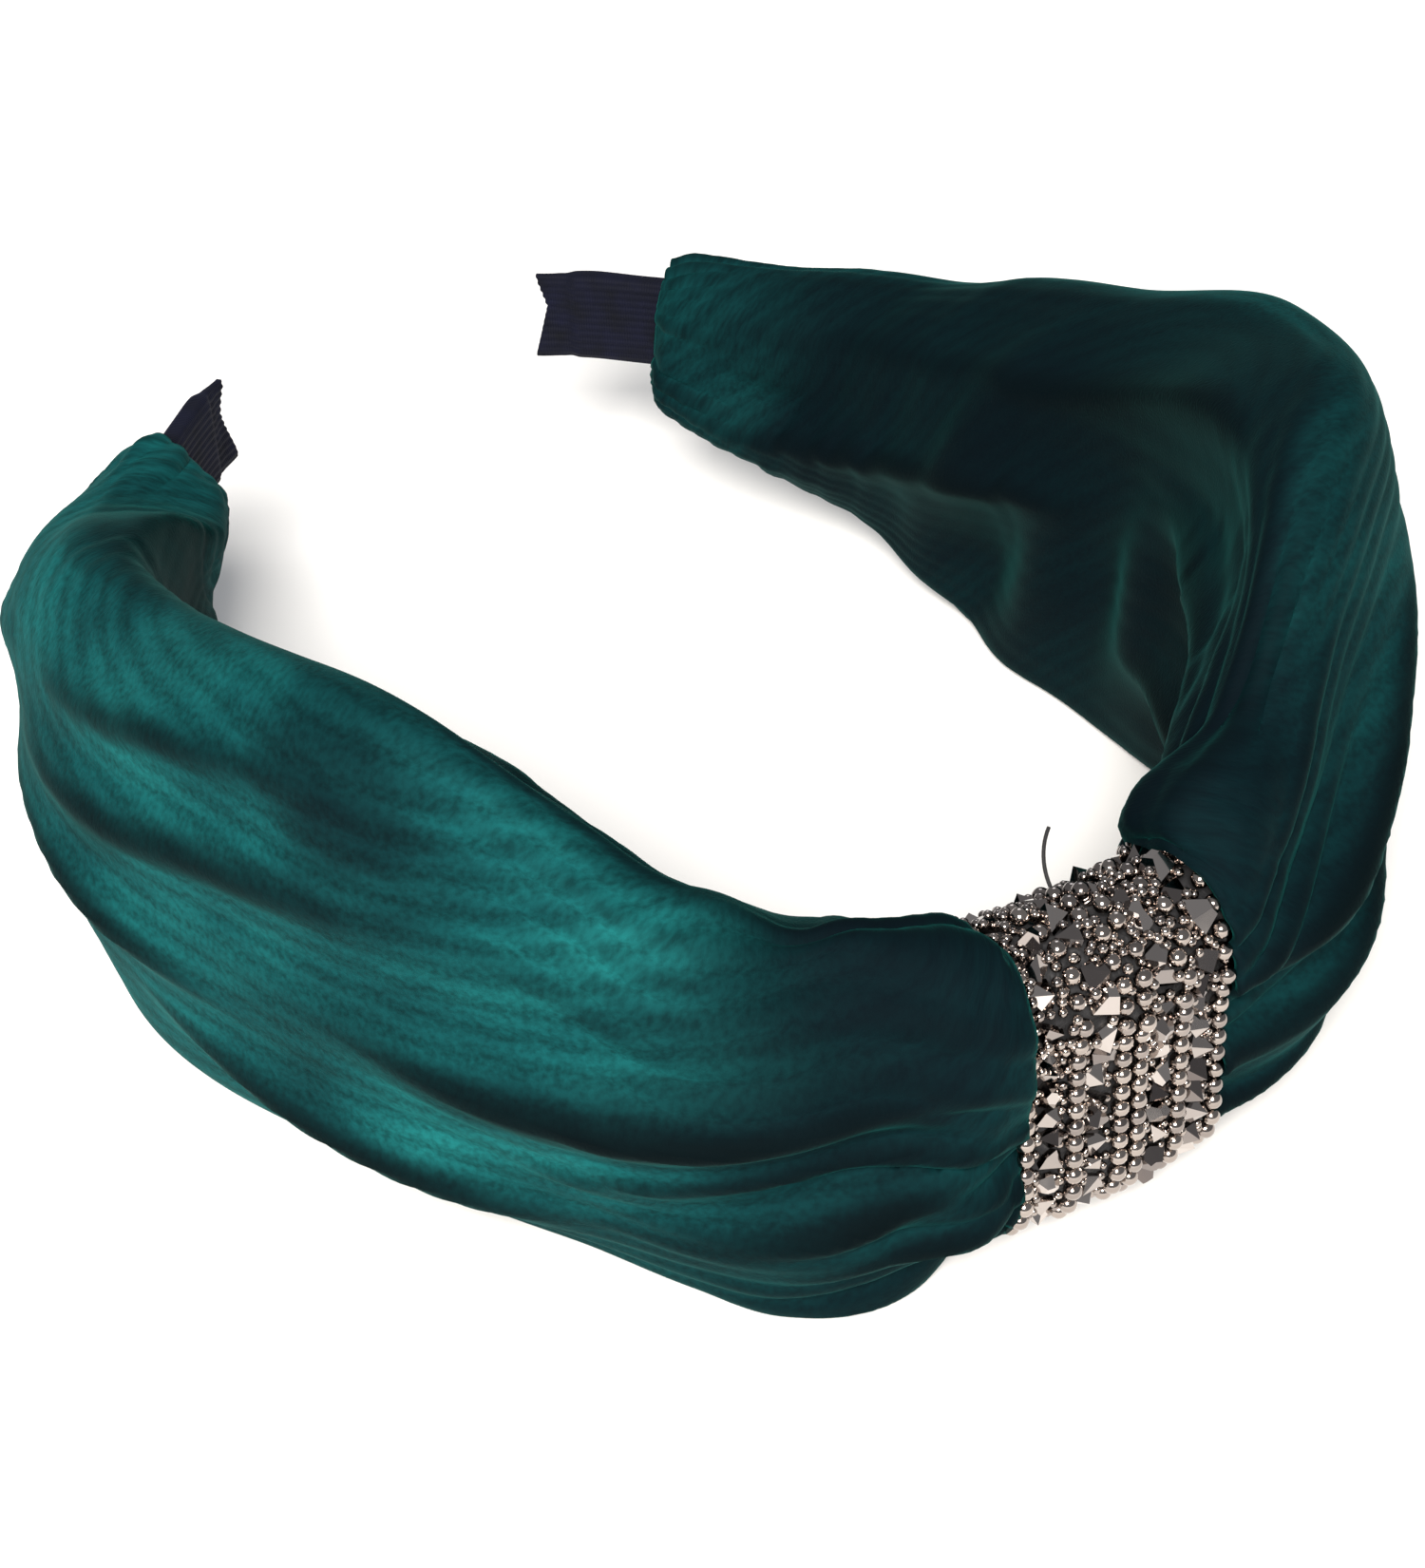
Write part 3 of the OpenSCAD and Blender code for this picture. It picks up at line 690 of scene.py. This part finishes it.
def make_ribbon(side, name, node, arm):
    """The ribbed ribbon round the end of the core, pressed flat beyond it and cut hollow."""
    rng = np.random.default_rng(3 if side == LEFT else 4)
    rings, half = 90, 60
    count = 2 * half
    # Round the ribbon: up its outer face, then down its inner face
    share = (np.arange(half) + 0.5) / half * 2 - 1
    level = np.concatenate([share, share[::-1]])
    outward = np.concatenate([np.ones(half), -np.ones(half)])
    part = np.linspace(0, 1, rings)[:, None]
    cut = TIP + FLAP - HOLLOW * (1 - np.abs(level - 0.25) / 1.25) + FRAY * np.sin(level * 40)
    lengths = SLEEVE_START + (cut - SLEEVE_START) * part
    tip_y = float(along(np.array(TIP))[1])
    taper = CORE_HALF_W + (CORE_TIP_HALF_W - CORE_HALF_W) * along(lengths)[1] / tip_y
    flat = fade(lengths, TIP - 1, TIP + 2.5)
    tall = (taper + 0.15 + RIBBON_T) * (1 - 0.02 * flat)
    tall = tall + 0.18 * fade(lengths, TAIL, TIP) * ripple(rng, lengths, level * 2, (1, 2), 22)
    thick = (CORE_T / 2 + 0.15 + RIBBON_T) * (1 - flat) + (RIBBON_T + 0.08) * flat
    rounding = np.sqrt(np.clip(1 - np.abs(level) ** 14, 0, 1))
    height = tall * level
    ribs = 0.09 * np.cos(2 * math.pi * height / RIB_PITCH) * rounding
    crease = -0.28 * np.exp(-((lengths - TIP - 0.6) / 0.7) ** 2)
    # Past the plastic the flap waves a little
    middle = 0.35 * flat * np.sin(level * 3.0 + 1.0) * fade(lengths, TIP, TIP + FLAP)
    reach = outward * (thick * np.maximum(rounding, 0.25) + ribs + crease)
    outer = stand_off(lengths, middle + reach, height)
    inner = stand_off(lengths, middle + outward * np.maximum(np.abs(reach) - RIBBON_T, 0.02), height * 0.955)
    girths = np.broadcast_to(np.cumsum(np.full(count, 4 * CORE_HALF_W / count)), lengths.shape)
    outer, inner, girths = outer[:, ::-1], inner[:, ::-1], girths[:, ::-1]
    ribbon = add_shell(name, outer, inner, side, lengths[:, ::-1], girths)
    ribbon.data.materials.append(ribbon_cloth)
    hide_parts(node)
    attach(ribbon, arm)


# ---- Materials ----

def colour(code):
    """An sRGB hex colour as linear RGBA."""
    parts = [int(code[i:i + 2], 16) / 255 for i in (1, 3, 5)]
    return tuple(c / 12.92 if c <= 0.04045 else ((c + 0.055) / 1.055) ** 2.4 for c in parts) + (1.0,)


def add_node(tree, kind, settings=(), links=()):
    """Adds a node, sets its properties and inputs by name, and links outputs to its inputs."""
    made = tree.nodes.new(kind)
    for key, value in dict(settings).items():
        if key in made.inputs.keys():
            made.inputs[key].default_value = value
        else:
            setattr(made, key, value)
    for key, source in dict(links).items():
        tree.links.new(source, made.inputs[key])
    return made


def new_material(name, settings):
    """A material with one Principled shader; gives the material, its tree and the shader."""
    made = bpy.data.materials.new(name)
    made.use_nodes = True
    tree = made.node_tree
    shader = tree.nodes["Principled BSDF"]
    for key, value in settings.items():
        shader.inputs[key].default_value = value
    return made, tree, shader


def set_ramp(ramp, stops):
    """Sets a colour ramp's stops, each (place, colour)."""
    while len(ramp.elements) < len(stops):
        ramp.elements.new(0.5)
    for element, (place, code) in zip(ramp.elements, stops):
        element.position = place
        element.color = colour(code)


def velvet_material(name, on_cloth):
    """Crushed emerald velvet: a dull pile that lights up at its edges, darker and brighter in random
    crushed patches, with painted light and shade read from the wing's attributes."""
    made, tree, shader = new_material(name, {
        "Roughness": 0.8, "Specular IOR Level": 0.04,
        "Sheen Weight": 0.12, "Sheen Roughness": 0.35, "Sheen Tint": colour("#1f8f88"),
    })
    if on_cloth:
        where = add_node(tree, "ShaderNodeUVMap", {"uv_map": "cloth"}).outputs["UV"]
    else:
        where = add_node(tree, "ShaderNodeTexCoord").outputs["Object"]
    # Crushed patches about 17 mm across, a little longer along the cloth
    stretched = add_node(tree, "ShaderNodeMapping", {"Scale": (0.6, 1.0, 1.0)}, {"Vector": where})
    crushed = add_node(tree, "ShaderNodeTexNoise", {"Scale": 60.0, "Detail": 3.0, "Roughness": 0.5},
                       {"Vector": stretched.outputs["Vector"]})
    tint = add_node(tree, "ShaderNodeValToRGB", {}, {"Fac": crushed.outputs["Fac"]})
    set_ramp(tint.color_ramp, [(0.28, "#05292c"), (0.46, "#0a4244"), (0.72, "#145f5f")])
    # Knitted rows: faint lines along the cloth, 3.2 mm apart
    rows = add_node(tree, "ShaderNodeTexWave",
                    {"wave_type": "BANDS", "bands_direction": "Y", "Scale": 98.0, "Distortion": 2.0,
                     "Detail": 2.0, "Detail Scale": 3.0}, {"Vector": where})
    speckle = add_node(tree, "ShaderNodeTexNoise", {"Scale": 1400.0, "Detail": 2.0}, {"Vector": where})
    worn = add_node(tree, "ShaderNodeMath", {"operation": "MULTIPLY_ADD"},
                    {0: rows.outputs["Fac"], 2: speckle.outputs["Fac"]})
    worn.inputs[1].default_value = 0.25
    shade = add_node(tree, "ShaderNodeValToRGB", {}, {"Fac": worn.outputs["Value"]})
    set_ramp(shade.color_ramp, [(0.35, "#b0b0b0"), (0.85, "#ffffff")])
    mixed = add_node(tree, "ShaderNodeMixRGB", {"blend_type": "MULTIPLY", "Fac": 1.0},
                     {"Color1": tint.outputs["Color"], "Color2": shade.outputs["Color"]})
    if on_cloth:
        # Painted light and shade: where the wing's light-and-shade attribute is low, the colour is painted
        # towards near-black
        painted_light_and_crush = add_node(tree, "ShaderNodeAttribute", {"attribute_name": "painted_light_and_crush"})
        mixed = add_node(tree, "ShaderNodeMixRGB", {"Color1": colour("#02090f")},
                         {"Fac": painted_light_and_crush.outputs["Fac"], "Color2": mixed.outputs["Color"]})
    # Painted shade: the bottom of a fold is painted almost black
    painted_fold_shade = add_node(tree, "ShaderNodeAttribute", {"attribute_name": "painted_fold_shade"})
    closed = add_node(tree, "ShaderNodeMixRGB", {"Color2": colour("#01080b")},
                      {"Fac": painted_fold_shade.outputs["Fac"], "Color1": mixed.outputs["Color"]})
    tree.links.new(closed.outputs["Color"], shader.inputs["Base Color"])
    # The pile's own grain is under 0.1 mm, so it is drawn coarser, at about 0.35 mm
    pile = add_node(tree, "ShaderNodeTexNoise", {"Scale": 2800.0, "Detail": 2.0}, {"Vector": where})
    grain = add_node(tree, "ShaderNodeBump", {"Strength": 0.35, "Distance": 0.2 * MM},
                     {"Height": pile.outputs["Fac"]})
    dents = add_node(tree, "ShaderNodeBump", {"Strength": 0.15, "Distance": 0.5 * MM},
                     {"Height": crushed.outputs["Fac"], "Normal": grain.outputs["Normal"]})
    tree.links.new(dents.outputs["Normal"], shader.inputs["Normal"])
    return made


def ribbon_material():
    """Navy grosgrain ribbon: fine lengthwise ribs crossed by a close weave, nearly matt."""
    made, tree, shader = new_material("navy_grosgrain_ribbon", {
        "Roughness": 0.75, "Specular IOR Level": 0.15,
        "Sheen Weight": 0.1, "Sheen Roughness": 0.4, "Sheen Tint": colour("#3f4c7a"),
    })
    where = add_node(tree, "ShaderNodeUVMap", {"uv_map": "cloth"}).outputs["UV"]
    # Cross threads every 0.35 mm
    threads = add_node(tree, "ShaderNodeTexWave",
                       {"wave_type": "BANDS", "bands_direction": "X", "Scale": 900.0,
                        "Distortion": 1.2, "Detail": 1.0}, {"Vector": where})
    cloud = add_node(tree, "ShaderNodeTexNoise", {"Scale": 240.0, "Detail": 3.0}, {"Vector": where})
    tint = add_node(tree, "ShaderNodeValToRGB", {}, {"Fac": cloud.outputs["Fac"]})
    set_ramp(tint.color_ramp, [(0.3, "#04060f"), (0.7, "#080b1f")])
    tree.links.new(tint.outputs["Color"], shader.inputs["Base Color"])
    bump = add_node(tree, "ShaderNodeBump", {"Strength": 0.35, "Distance": 0.1 * MM},
                    {"Height": threads.outputs["Color"]})
    tree.links.new(bump.outputs["Normal"], shader.inputs["Normal"])
    return made


def mesh_cloth_material():
    """Charcoal mesh backing: a dull synthetic net with a faint square weave and light lint."""
    made, tree, shader = new_material("charcoal_net_backing", {
        "Roughness": 0.62, "Specular IOR Level": 0.35,
        "Sheen Weight": 0.3, "Sheen Roughness": 0.5, "Sheen Tint": colour("#8a8a8a"),
    })
    where = add_node(tree, "ShaderNodeUVMap", {"uv_map": "cloth"}).outputs["UV"]
    # Holes of the net about 0.7 mm apart
    net = add_node(tree, "ShaderNodeTexVoronoi",
                   {"feature": "DISTANCE_TO_EDGE", "Scale": 1500.0, "Randomness": 0.35}, {"Vector": where})
    lint = add_node(tree, "ShaderNodeTexNoise", {"Scale": 420.0, "Detail": 5.0}, {"Vector": where})
    tint = add_node(tree, "ShaderNodeValToRGB", {}, {"Fac": lint.outputs["Fac"]})
    set_ramp(tint.color_ramp, [(0.35, "#141416"), (0.62, "#2a2a2c"), (0.78, "#4d4b4a")])
    tree.links.new(tint.outputs["Color"], shader.inputs["Base Color"])
    bump = add_node(tree, "ShaderNodeBump", {"Strength": 0.6, "Distance": 0.2 * MM},
                    {"Height": net.outputs["Distance"]})
    tree.links.new(bump.outputs["Normal"], shader.inputs["Normal"])
    return made


def plated_material(name, dark, light, roughness):
    """Gunmetal plating, a little warmer on some beads than on others, with faint tarnish."""
    made, tree, shader = new_material(name, {"Metallic": 1.0, "Roughness": roughness})
    tone = add_node(tree, "ShaderNodeAttribute", {"attribute_name": "tone"})
    tint = add_node(tree, "ShaderNodeValToRGB", {}, {"Fac": tone.outputs["Fac"]})
    set_ramp(tint.color_ramp, [(0.0, dark), (1.0, light)])
    tree.links.new(tint.outputs["Color"], shader.inputs["Base Color"])
    where = add_node(tree, "ShaderNodeTexCoord").outputs["Object"]
    tarnish = add_node(tree, "ShaderNodeTexNoise", {"Scale": 700.0, "Detail": 2.0}, {"Vector": where})
    worn = add_node(tree, "ShaderNodeMapRange", {"To Min": roughness * 0.7, "To Max": roughness * 1.5},
                    {"Value": tarnish.outputs["Fac"]})
    tree.links.new(worn.outputs["Result"], shader.inputs["Roughness"])
    return made


def plain_material(name, code, roughness, scale, strength, settings=(), mottle=0.2):
    """A plain finish with a faint mottle and grain: a colour, a roughness, the grain's scale and
    strength, and how far the mottle lightens and darkens it."""
    made, tree, shader = new_material(name, {"Roughness": roughness, **dict(settings)})
    where = add_node(tree, "ShaderNodeTexCoord").outputs["Object"]
    grain = add_node(tree, "ShaderNodeTexNoise", {"Scale": scale, "Detail": 3.0}, {"Vector": where})
    tint = add_node(tree, "ShaderNodeHueSaturation", {"Color": colour(code)})
    value = add_node(tree, "ShaderNodeMapRange", {"To Min": 1 - mottle, "To Max": 1 + mottle},
                     {"Value": grain.outputs["Fac"]})
    tree.links.new(value.outputs["Result"], tint.inputs["Value"])
    tree.links.new(tint.outputs["Color"], shader.inputs["Base Color"])
    bump = add_node(tree, "ShaderNodeBump", {"Strength": strength, "Distance": 0.1 * MM},
                    {"Height": grain.outputs["Fac"]})
    tree.links.new(bump.outputs["Normal"], shader.inputs["Normal"])
    return made


velvet = velvet_material("crushed_emerald_velvet", True)
velvet_plain = velvet_material("crushed_emerald_velvet_bunched", False)
ribbon_cloth = ribbon_material()
mesh_cloth = mesh_cloth_material()
plated_ball = plated_material("gunmetal_plated_bead", "#8a827e", "#aba19a", 0.12)
mirror_stone = plated_material("mirror_backed_cut_stone", "#6c6563", "#c4bcb7", 0.07)
core_plastic = plain_material("black_moulded_plastic", "#18181a", 0.45, 900.0, 0.1)
hot_glue = plain_material("milky_hot_glue", "#8c8d85", 0.3, 500.0, 0.3, {"Specular IOR Level": 0.6})
thread = plain_material("black_sewing_thread", "#0d0d10", 0.75, 4000.0, 0.4)

CAD_FINISHES = {
    "core_crown": core_plastic, "core_left": core_plastic, "core_right": core_plastic,
    "tip_glue_left": hot_glue, "tip_glue_right": hot_glue,
    "strap_lap": mesh_cloth, "strap_stitches": thread,
}

# ---- The pieces ----

make_wing(LEFT, "velvet_wing_l", "velvet_wing_left")
make_wing(RIGHT, "velvet_wing_r", "velvet_wing_right")
make_pinch()
make_backing()
make_trim()
make_ribbon(LEFT, "ribbon_sleeve_l", "tip_sleeve_left", "left_arm")
make_ribbon(RIGHT, "ribbon_sleeve_r", "tip_sleeve_right", "right_arm")
for node, finish in CAD_FINISHES.items():
    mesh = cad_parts[node].data
    mesh.materials.clear()
    mesh.materials.append(finish)

# ---- Floor, light and camera ----

bpy.context.scene.view_settings.view_transform = "Standard"

FLOOR_SIZE = 6  # metres
floor_material = plain_material("pale_studio_floor", "#f1f1f0", 0.9, 60.0, 0.02, mottle=0.01)
bpy.ops.mesh.primitive_plane_add(size=FLOOR_SIZE, location=(0, 0, 0))
floor = bpy.context.object
floor.name = "studio_floor"
floor.data.materials.append(floor_material)

world = bpy.data.worlds.new("soft_studio")
world.use_nodes = True
bpy.context.scene.world = world
world.node_tree.nodes["Background"].inputs["Color"].default_value = colour("#e6e8ec")
world.node_tree.nodes["Background"].inputs["Strength"].default_value = 0.36


def add_light(name, place, size, power, code):
    """A soft square light that faces the headband."""
    lamp = bpy.data.lights.new(name, "AREA")
    lamp.shape = "SQUARE"
    lamp.size = size
    lamp.energy = power
    lamp.color = colour(code)[:3]
    made = bpy.data.objects.new(name, lamp)
    made.location = place
    made.rotation_euler = (Vector((0, 0, 0.02)) - Vector(place)).to_track_quat("-Z", "Y").to_euler()
    bpy.context.scene.collection.objects.link(made)


add_light("key_softbox", (-0.55, -0.75, 0.85), 0.5, 36, "#fffaf4")
add_light("back_softbox", (0.5, 0.8, 0.9), 0.5, 2, "#f2f7ff")

CAMERA_AZIMUTH = math.radians(-29.5)
CAMERA_ELEVATION = math.radians(37.3)
CAMERA_ROLL = math.radians(-3.25)
CAMERA_DISTANCE = 351 * MM
CAMERA_LENS = 72
CAMERA_TARGET = Vector((-6.1, -11.7, 19.5)) * MM


def add_camera():
    """The camera, turned from facing the crown squarely, raised and tipped a little."""
    flat = Vector((math.cos(CAMERA_AZIMUTH), math.sin(CAMERA_AZIMUTH), 0))
    level = math.cos(CAMERA_ELEVATION)
    back = Vector((flat.y * level, -flat.x * level, math.sin(CAMERA_ELEVATION)))
    over = back.cross(flat)
    side = flat * math.cos(CAMERA_ROLL) + over * math.sin(CAMERA_ROLL)
    lens = bpy.data.cameras.new("front_three_quarter")
    lens.lens = CAMERA_LENS
    lens.sensor_width = 36
    lens.clip_start = 0.01
    made = bpy.data.objects.new("front_three_quarter", lens)
    bpy.context.scene.collection.objects.link(made)
    turn = Matrix((side, back.cross(side), back)).transposed().to_4x4()
    made.matrix_world = Matrix.Translation(CAMERA_TARGET + back * CAMERA_DISTANCE) @ turn
    bpy.context.scene.camera = made


add_camera()
